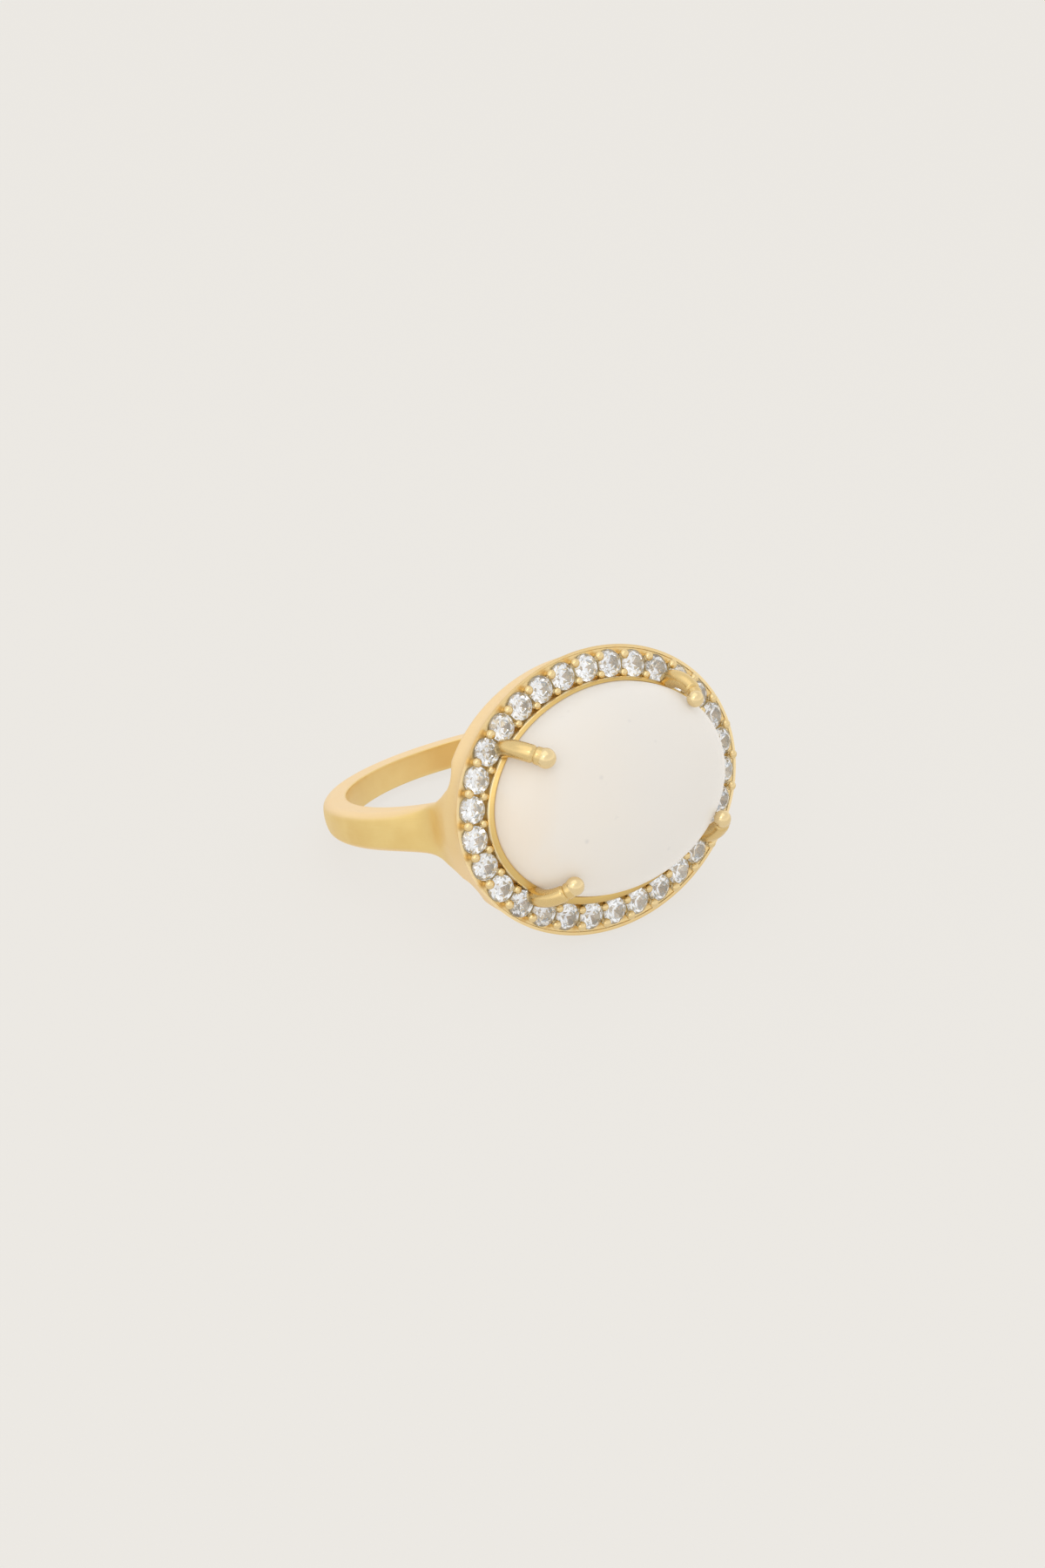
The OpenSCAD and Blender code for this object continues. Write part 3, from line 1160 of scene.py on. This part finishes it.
@dataclass
class Mount:
    """The soldered body: head and shank in one piece, with a soft fillet where they meet."""

    head: Head
    shank: Shank
    reach: float = 1.3
    passes: int = 36
    fade: float = 0.75
    margin: float = 0.3
    inner_share: float = 0.93
    weld: float = 0.006
    seam_angle: float = 14.0
    seam_start: float = 7.0
    seam_below: float = 0.8
    seam_above: float = 0.7
    bore_clear: float = 0.12
    rim_clear: float = 0.9

    def outside(self, spot: Vector) -> bool:
        """Whether a point is beyond the head's foot, and so not in the hollow behind the stone."""
        foot = self.shank.foot
        return math.hypot(spot.x / foot.half_length, spot.y / foot.half_width) > self.inner_share

    def seam(self, mesh: BMesh) -> kdtree.KDTree:
        """Finds the hollow corners between shank and head.

        Args:
            mesh: The joined body.

        Returns:
            A tree of the points along them.
        """
        low, high = self.head.foot_height - self.seam_below, self.head.foot_height + self.seam_above
        bend = math.radians(self.seam_angle)
        found = {
            v.index: v.co
            for e in mesh.edges
            if len(e.link_faces) == 2 and not e.is_convex and e.calc_face_angle(0.0) > bend
            for v in e.verts
            if abs(v.co.x) > self.seam_start and self.outside(v.co) and low < v.co.z < high
        }
        tree = kdtree.KDTree(len(found))
        for index, spot in found.items():
            tree.insert(spot, index)
        tree.balance()
        return tree

    def soften(self, mesh: BMesh) -> None:
        """Rounds the corners between shank and head by smoothing them in ever narrower passes.

        Args:
            mesh: The joined body.
        """
        tree = self.seam(mesh)
        near = {
            v: tree.find(v.co)[2]
            for v in mesh.verts
            if math.hypot(v.co.x, v.co.z) > self.shank.bore + self.bore_clear
            and v.co.z < self.head.rim_height - self.rim_clear and self.outside(v.co)
        }
        zone = [v for v, gap in near.items() if gap < self.reach + self.margin]
        bmesh.ops.triangulate(mesh, faces=list({f for v in zone for f in v.link_faces if len(f.verts) > 4}))
        for k in range(self.passes):
            within = self.reach * (1 - self.fade * k / self.passes)
            bmesh.ops.smooth_vert(
                mesh, verts=[v for v in zone if near[v] < within], factor=0.5,
                use_axis_x=True, use_axis_y=True, use_axis_z=True,
            )

    def mask(self, mesh: BMesh) -> None:
        """Marks the polished lines with a painted highlight, paints light on the sides and wall, and paints
        shade on the lip and rim.

        Args:
            mesh: The finished body.
        """
        mesh.normal_update()
        polish_and_highlight, pale, painted_shade = (mesh.verts.layers.float.new(name) for name in ("polish_and_highlight", "pale", "painted_shade"))
        tones = MountPolishAndPaintedLight(self.head, self.shank.bore)
        for v in mesh.verts:
            v[polish_and_highlight], v[pale], v[painted_shade] = tones.at(v.co, v.normal.y)

    def build(self, bench: Bench) -> BMesh:
        """The joined body with its fillets and the stones' seats.

        Args:
            bench: The bench that joins and carves.

        Returns:
            The body.
        """
        mesh = bench.boolean(self.head.build(), self.shank.build(), "UNION")
        bmesh.ops.remove_doubles(mesh, verts=mesh.verts, dist=self.weld)
        mesh.verts.index_update()
        self.soften(mesh)
        mesh = bench.boolean(mesh, self.head.seats(), "DIFFERENCE")
        self.mask(mesh)
        return mesh


@dataclass
class SettingBeads:
    """The round beads on their posts that hold the halo stones."""

    plan: HaloPlan
    outer_radius: float = 0.285
    inner_radius: float = 0.255
    size_spread: Span = (0.96, 1.02)
    height_spread: float = 0.02
    off: float = 0.53
    tuck: float = 0.14
    rise: float = 0.22
    post: float = 0.14
    post_foot: float = 1.15
    post_top: float = 0.95
    post_sunk: float = 0.08
    inner_long: float = 1.6
    inner_back: float = 0.08
    # Polish with a painted highlight on the beads.
    polish_and_highlight: float = 0.35
    seed: int = 7

    def places(self) -> list[tuple[Vector, Vector, bool]]:
        """Finds where the beads stand.

        Returns:
            Each bead's place, its way outwards, and whether it stands on the halo's inner side.
        """
        found = []
        for k in range(self.plan.count):
            step = k + 0.5
            way = self.plan.line.outward(self.plan.angle(step))
            found.append((self.plan.between(step, self.off), way, False))
            if step not in self.plan.claw_steps:
                found.append((self.plan.between(step, self.tuck * max(0.0, -way.y) - self.off), way, True))
        return found

    def build(self) -> BMesh:
        """Makes the beads and their posts.

        Returns:
            All of them in one mesh.
        """
        mesh = bmesh.new()
        draw = random.Random(self.seed)
        floor = self.plan.floor_height - self.post_sunk
        for place, way, inside in self.places():
            size = (self.inner_radius if inside else self.outer_radius) * draw.uniform(*self.size_spread)
            height = place.z + self.rise + draw.uniform(-self.height_spread, self.height_spread)
            spot = Matrix.Translation((place.x, place.y, height))
            bmesh.ops.create_uvsphere(mesh, u_segments=24, v_segments=16, radius=size, matrix=spot)
            turn = Matrix.Rotation(math.atan2(way.y, way.x), 4, "Z")
            long = Matrix.Diagonal((self.inner_long if inside else 1.0, 1.0, 1.0, 1.0))
            back = -self.inner_back if inside else 0.0
            middle = Vector((place.x, place.y, (floor + height) / 2)) + way * back
            bmesh.ops.create_cone(
                mesh, cap_ends=False, segments=16, radius1=self.post * self.post_foot,
                radius2=self.post * self.post_top, depth=height - floor,
                matrix=Matrix.Translation(middle) @ turn @ long,
            )
        add_mask(mesh, "polish_and_highlight", self.polish_and_highlight)
        return mesh


@dataclass(frozen=True)
class ClawPath:
    """One claw's way over the dome, with its angles in degrees.

    Its numbers are its foot's step, its bearings at root and tip, its reach up the dome and the
    radius of its ball.
    """

    step: float
    root_bearing: float
    bearing: float
    reach: float
    ball: float


@dataclass
class Claws:
    """The four claws with ball tips."""

    plan: HaloPlan
    dome: Dome
    root: float = 0.53
    neck: float = 0.07
    foot: float = 0.33
    foot_sunk: float = 0.15
    stem: Triples = (
        (0.12, 0.0, 0.0), (0.2, 0.1, 0.15), (0.29, 0.35, 0.45), (0.38, 0.6, 0.75), (0.48, 0.85, 0.95),
    )
    fit: float = FIT
    foot_off: float = -0.74
    arch: float = 0.14
    arch_skew: float = 0.7
    groove: float = 0.085
    groove_width: float = 0.075
    groove_back: float = 0.66
    # Polish with a painted highlight, and painted shade, on balls, arms and grooves.
    ball_polish_and_highlight: float = 0.5
    arm_polish_and_highlight: float = 0.15
    ball_painted_shade: float = 0.2
    arm_painted_shade: float = 0.4
    groove_painted_shade: float = 0.4
    rows: int = 60
    sides: int = 32
    paths: tuple[ClawPath, ...] = (
        ClawPath(3.5, 45.0, 39.5, 28.5, 0.5),
        ClawPath(11.5, 138.0, 138.5, 32.5, 0.6),
        ClawPath(18.5, 221.0, 223.5, 31.0, 0.55),
        ClawPath(26.5, 315.0, 321.5, 27.5, 0.5),
    )

    def in_groove(self, back: float) -> float:
        """How deep in the groove a place is, by its distance back from the tip: 1 in the middle."""
        dip = (back - self.groove_back) / self.groove_width
        return math.exp(-dip * dip)

    def line(self, claw: ClawPath) -> list[tuple[Vector, float]]:
        """The claw's middle line with its radius at each point.

        Args:
            claw: The claw's numbers.

        Returns:
            Points from the foot to the ball, each with a radius.
        """
        first, last = math.radians(claw.root_bearing), math.radians(claw.bearing)
        foot = self.plan.between(claw.step, self.foot_off)
        top = self.dome.point(first, 0.0, self.root + self.fit)
        line = [(Vector((foot.x, foot.y, self.plan.floor_height - self.foot_sunk)), self.foot)]
        for rise, drift, thick in self.stem:
            spot = foot.lerp(top, drift)
            height = self.plan.girdle_height + rise
            line.append((Vector((spot.x, spot.y, height)), self.foot + (self.root - self.foot) * thick))
        radius = claw.ball - self.neck
        tip = self.dome.point(last, math.radians(claw.reach), claw.ball + self.fit)
        for k in range(self.rows + 1):
            share = k / self.rows
            arch = self.arch * math.sin(math.pi * share**self.arch_skew)
            off = self.fit + self.root + (claw.ball - self.root) * share + arch
            bearing = first + (last - first) * smooth_step(0.0, 1.0, share)
            spot = self.dome.point(bearing, max(0.01, math.radians(claw.reach) * share), off)
            thick = self.root + (radius - self.root) * share
            line.append((spot, thick - self.groove * self.in_groove((spot - tip).length)))
        return line

    def grow(self, mesh: BMesh, line: list[tuple[Vector, float]], side: Vector) -> None:
        """Extrudes one claw along its line.

        Args:
            mesh: The mesh that it is added to.
            line: Points with their radii.
            side: The direction across the claw, which stays level.
        """
        ring = bmesh.ops.create_circle(mesh, segments=self.sides, radius=1.0, cap_ends=True)["verts"]
        edges = list({e for v in ring for e in v.link_edges if e.other_vert(v) in ring})
        flat = {v: v.co.copy() for v in ring}
        order = list(ring)
        for k, (middle, radius) in enumerate(line):
            ahead = (line[min(k + 1, len(line) - 1)][0] - line[max(k - 1, 0)][0]).normalized()
            across = side.cross(ahead).normalized()
            beside = ahead.cross(across)
            if k:
                made = bmesh.ops.extrude_edge_only(mesh, edges=edges)["geom"]
                edges = edges_of(made)
                twin = {min(order, key=lambda o: (o.co - v.co).length_squared): v for v in verts_of(made)}
                flat = {twin[o]: flat[o] for o in order}
                order = [twin[o] for o in order]
            for v in order:
                v.co = middle + (across * flat[v].x + beside * flat[v].y) * radius

    def mask(self, mesh: BMesh, lines: list[list[tuple[Vector, float]]]) -> None:
        """Marks the polished balls with a painted highlight, and paints shade lightly on the balls, more on
        the arms and most in the grooves behind the balls.

        Args:
            mesh: The finished claws.
            lines: Each claw's middle line, in the order of the paths.
        """
        polish_and_highlight, painted_shade = (mesh.verts.layers.float.new(name) for name in ("polish_and_highlight", "painted_shade"))
        ends = []
        for claw, line in zip(self.paths, lines):
            tip = line[-1][0]
            ends.append((tip, (line[-5][0] - tip).normalized(), claw.ball))
        for v in mesh.verts:
            tip, back, ball = min(ends, key=lambda end: (end[0] - v.co).length_squared)
            gap = v.co - tip
            on_ball = gap.length < ball + 1e-3
            shade = self.arm_painted_shade + self.groove_painted_shade * self.in_groove(gap.dot(back))
            v[polish_and_highlight] = self.ball_polish_and_highlight if on_ball else self.arm_polish_and_highlight
            v[painted_shade] = self.ball_painted_shade if on_ball else shade

    def build(self) -> BMesh:
        """Makes the claws with their balls.

        Returns:
            The four claws in one mesh.
        """
        mesh = bmesh.new()
        lines = [self.line(claw) for claw in self.paths]
        for claw, line in zip(self.paths, lines):
            lean = self.dome.edge.outward(math.radians(claw.bearing))
            self.grow(mesh, line, Vector((-lean.y, lean.x, 0)))
            tip = Matrix.Translation(line[-1][0])
            bmesh.ops.create_uvsphere(mesh, u_segments=40, v_segments=24, radius=claw.ball, matrix=tip)
        bmesh.ops.recalc_face_normals(mesh, faces=mesh.faces)
        self.mask(mesh, lines)
        return mesh


@dataclass
class Cabochon:
    """The moonstone."""

    dome: Dome
    rounds: int = 160
    rises: int = 80
    belt: float = 0.4
    chamfer: float = 0.05
    taper: float = 0.975
    base_taper: float = 0.967

    def build(self) -> BMesh:
        """Draws the upper half of a ball out to the dome, and adds its side and base.

        Returns:
            The closed stone.
        """
        mesh = bmesh.new()
        bmesh.ops.create_uvsphere(mesh, u_segments=self.rounds, v_segments=self.rises, radius=1.0)
        slice_off(mesh, Vector((0, 0, 0)), Vector((0, 0, -1)), 1e-5)
        for v in mesh.verts:
            v.co = self.dome.point(math.atan2(v.co.y, v.co.x), math.asin(min(1.0, max(0.0, v.co.z))))
        oval, base = self.dome.edge, self.dome.base_height
        middle = Vector((0, oval.shift, 0))
        for lift, share in ((self.belt, 1.0), (self.chamfer, self.taper), (0.0, self.base_taper)):
            made = bmesh.ops.extrude_edge_only(mesh, edges=open_edges(mesh))["geom"]
            for v in verts_of(made):
                angle = math.atan2((v.co.y - middle.y) / oval.half_width, v.co.x / oval.half_length)
                v.co = middle + (oval.point(angle) - middle) * share
                v.co.z = base + lift
        bmesh.ops.holes_fill(mesh, edges=open_edges(mesh), sides=0)
        bmesh.ops.recalc_face_normals(mesh, faces=mesh.faces)
        return mesh


@dataclass
class Brilliants:
    """The halo's round brilliants, cut facet by facet from a blank."""

    plan: HaloPlan
    table_share: float = 0.55
    crown: float = 0.24
    girdle: float = 0.03
    pavilion: float = 0.68
    blank_depth: float = 2.0
    sides: int = 32
    upper_lean: float = 1.22
    upper_reach: float = 0.998
    star_lean: float = 0.62
    star_reach: float = 0.97
    turn_spread: float = 0.35
    tip_spread: float = 1.2
    seed: int = 30

    def cut(self, mesh: BMesh, place: Vector, way: Vector) -> None:
        """Grinds one facet, and closes the stone.

        Args:
            mesh: The stone.
            place: A point of the facet.
            way: The way that the facet faces.
        """
        edges = [e for e in slice_off(mesh, place, way, 1e-6) if e.is_boundary]
        if edges:
            bmesh.ops.contextual_create(mesh, geom=edges)

    def facet(self, mesh: BMesh, turn: float, lean: float, reach: float, height: float) -> None:
        """Grinds one of a ring of facets.

        Args:
            mesh: The stone.
            turn: The facet's turn round the stone, in radians.
            lean: How far its normal leans off the axis, in radians.
            reach: How far from the axis the facet passes at the height.
            height: The height, below 0 for the pavilion.
        """
        x, y = math.cos(turn), math.sin(turn)
        way = Vector((x * math.sin(lean), y * math.sin(lean), math.copysign(math.cos(lean), height)))
        self.cut(mesh, Vector((x * reach, y * reach, height)), way)

    def blank(self) -> BMesh:
        """Cuts one stone about its own axis, with its girdle at height 0.

        Returns:
            The stone.
        """
        radius, half = self.plan.stone_radius, self.girdle / 2
        top = half + self.crown
        mesh = bmesh.new()
        bmesh.ops.create_cone(
            mesh, cap_ends=True, segments=self.sides, radius1=radius, radius2=radius, depth=self.blank_depth
        )
        self.cut(mesh, Vector((0, 0, top)), Vector((0, 0, 1)))
        main = math.atan2(self.crown, radius * (1 - self.table_share))
        low = math.atan2(self.pavilion, radius)
        upper, upper_reach = main * self.upper_lean, radius * self.upper_reach
        star, star_reach = main * self.star_lean, radius * self.table_share * self.star_reach
        for k in range(8):
            for lean, height in ((main, half), (low, -half)):
                self.facet(mesh, math.tau * k / 8, lean, radius, height)
        for k in range(16):
            self.facet(mesh, math.tau * (k + 0.5) / 16, upper, upper_reach, half)
        for k in range(8):
            self.facet(mesh, math.tau * (k + 0.5) / 8, star, star_reach, top)
        bmesh.ops.recalc_face_normals(mesh, faces=mesh.faces)
        return mesh

    def build(self) -> BMesh:
        """Sets a copy of the stone at each step of the halo, and gives each facet a random level of painted
        sparkle.

        Returns:
            All the stones in one mesh.
        """
        blank = self.blank()
        pattern = bpy.data.meshes.new("brilliant pattern")
        blank.to_mesh(pattern)
        blank.free()
        halo = bmesh.new()
        tone = halo.faces.layers.float.new("painted_facet_sparkle")
        draw = random.Random(self.seed)
        for step in range(self.plan.count):
            known = set(halo.faces)
            start = set(halo.verts)
            halo.from_mesh(pattern)
            fresh = [v for v in halo.verts if v not in start]
            turn = self.plan.angle(step) + draw.uniform(-self.turn_spread, self.turn_spread)
            tip = Matrix.Rotation(math.radians(draw.uniform(-self.tip_spread, self.tip_spread)), 4, "X")
            place = self.plan.seat(step) @ tip @ Matrix.Rotation(turn, 4, "Z")
            bmesh.ops.transform(halo, matrix=place, verts=fresh)
            # Each facet gets a random level of painted reflection and glint.
            for face in (f for f in halo.faces if f not in known):
                face[tone] = draw.uniform(0.0, 1.0)
        bpy.data.meshes.remove(pattern)
        return halo


# The studio


@dataclass(frozen=True)
class SoftBox:
    """A square lamp that faces the ring, with its place and side in metres and its power in watts."""

    name: str
    place: Place
    side: float
    power: float
    colour: Colour


@dataclass
class Studio:
    """Camera, floor and soft light."""

    pose: RestPose
    azimuth: float = -38.465
    elevation: float = 29.705
    pixels_per_mm: float = 19.468
    pull: float = 0.0036
    centre: tuple[float, float] = (564.1, 893.06)
    frame: tuple[int, int] = (1200, 1800)
    sensor: float = 36
    floor_half: float = 1.5
    floor_colour: Colour = (0.839, 0.815, 0.776)
    floor_base: float = 0.14
    floor_glow: float = 0.85
    sky: Pairs = ((0.0, 1.05), (0.15, 1.05), (0.4, 0.95), (0.7, 0.9), (1.0, 0.9))
    sky_tint: Colour = (1.0, 0.985, 0.955)
    aim: Place = (0.0, 0.0, 0.006)
    boxes: tuple[SoftBox, ...] = (
        SoftBox("top box", (-0.1, 0.0, 0.5), 0.5, 0.3, (1.0, 0.98, 0.95)),
        SoftBox("left box", (-0.5, -0.1, 0.3), 0.4, 0.2, (1.0, 0.97, 0.92)),
        SoftBox("glint box", (-0.32, -0.13, 0.365), 0.1, 0.1, (1.0, 0.98, 0.95)),
    )

    def camera(self) -> None:
        """Sets the camera at the photograph's angle, with a small shift for its framing."""
        az, el = math.radians(self.azimuth), math.radians(self.elevation)
        back = Vector((math.sin(az) * math.cos(el), -math.cos(az) * math.cos(el), math.sin(el)))
        right = Vector((math.cos(az), math.sin(az), 0))
        up = back.cross(right)
        away = MM / self.pull
        data = bpy.data.cameras.new("camera")
        data.sensor_width = self.sensor
        data.lens = self.sensor * self.pixels_per_mm / self.pull / self.frame[1]
        data.shift_x = (self.frame[0] / 2 - self.centre[0]) / self.frame[1]
        data.shift_y = (self.centre[1] - self.frame[1] / 2) / self.frame[1]
        data.clip_start, data.clip_end = 0.01, 5
        camera = add_object("camera", data)
        turn = Matrix((right, up, back)).transposed().to_4x4()
        camera.matrix_world = Matrix.Translation(self.pose.place + back * away) @ turn
        bpy.context.scene.camera = camera

    def floor(self) -> None:
        """Lays a wide pale floor."""
        mesh = bmesh.new()
        bmesh.ops.create_grid(mesh, x_segments=8, y_segments=8, size=self.floor_half)
        floor = add_shape("floor", mesh)
        finish = Finish.named("pale floor")
        dim = tuple(self.floor_base * part for part in self.floor_colour)
        shader = finish.add(
            "BsdfPrincipled", Roughness=0.9, Base_Color=(*dim, 1), Specular_IOR_Level=0.0,
            Emission_Color=(*self.floor_colour, 1), Emission_Strength=self.floor_glow,
        )
        floor.data.materials.append(finish.close(shader))

    def lamp(self, box: SoftBox) -> None:
        """Adds one soft box, turned to the ring.

        Args:
            box: The lamp's numbers.
        """
        data = bpy.data.lights.new(box.name, "AREA")
        data.energy, data.size, data.color = box.power, box.side, box.colour
        place = Vector(box.place)
        turn = (Vector(self.aim) - place).to_track_quat("-Z", "Y").to_matrix().to_4x4()
        add_object(box.name, data).matrix_world = Matrix.Translation(place) @ turn

    def surround(self) -> None:
        """Sets a bright even sky."""
        world = bpy.data.worlds.new("surround")
        world.use_nodes = True
        wires = Wiring(world.node_tree)
        wires.tree.nodes.clear()
        split = wires.add("SeparateXYZ")
        wires.link(wires.add("TexCoord").outputs["Generated"], split.inputs["Vector"])
        sky = wires.colour(Ramp.tinted(self.sky, self.sky_tint), split.outputs["Z"])
        shade = wires.add("Background", Strength=1.0)
        wires.link(sky, shade.inputs["Color"])
        wires.link(shade.outputs["Background"], wires.add("OutputWorld").inputs["Surface"])
        bpy.context.scene.world = world

    def build(self) -> None:
        """Sets the whole studio up."""
        self.camera()
        self.floor()
        self.surround()
        for box in self.boxes:
            self.lamp(box)
        view = bpy.context.scene.view_settings
        view.view_transform = "Standard"
        view.look = "None"


@dataclass
class Ring:
    """The whole ring."""

    pose: RestPose
    plan: HaloPlan = field(default_factory=HaloPlan)
    dome: Dome = field(default_factory=Dome)

    def build(self) -> None:
        """Makes every piece and dresses it."""
        bench = Bench(self.pose)
        brushing = BrushedSurface()
        band_gold = GoldFinish("satin gold band", Grain.ROUND_FINGER).build(brushing, self.pose)
        bright_gold = GoldFinish(
            "polished gold", Grain.NONE, deep=(0.765, 0.555, 0.24), mellow=(0.815, 0.605, 0.275), rough=0.3,
            scatter=0.01, relief=0.0,
        ).build(brushing, self.pose)
        metal = ["ring_mount"]
        body = Mount(Head(self.plan, self.dome), Shank()).build(bench)
        bench.lay("mount_body", body, band_gold, metal)
        bench.lay("setting_beads", SettingBeads(self.plan).build(), bright_gold, metal)
        bench.lay("claws", Claws(self.plan, self.dome).build(), bright_gold, metal)
        milk = MoonstoneFinish().build(self.pose, self.dome)
        bench.lay("cabochon", Cabochon(self.dome).build(), milk, ["moonstone"])
        clear = BrilliantFinish().build()
        stones = [f"halo_stone_{k:02d}" for k in range(1, self.plan.count + 1)]
        bench.lay("brilliants", Brilliants(self.plan).build(), clear, stones, sharp=0.0)


def main() -> None:
    """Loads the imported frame, builds the studio and the ring, and notes the sizes."""
    logging.basicConfig(level=logging.INFO, format="%(name)s: %(message)s")
    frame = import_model()
    pose = RestPose.of(frame["record"])
    Studio(pose).build()
    Ring(pose).build()
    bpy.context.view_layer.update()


if __name__ == "__main__":
    main()
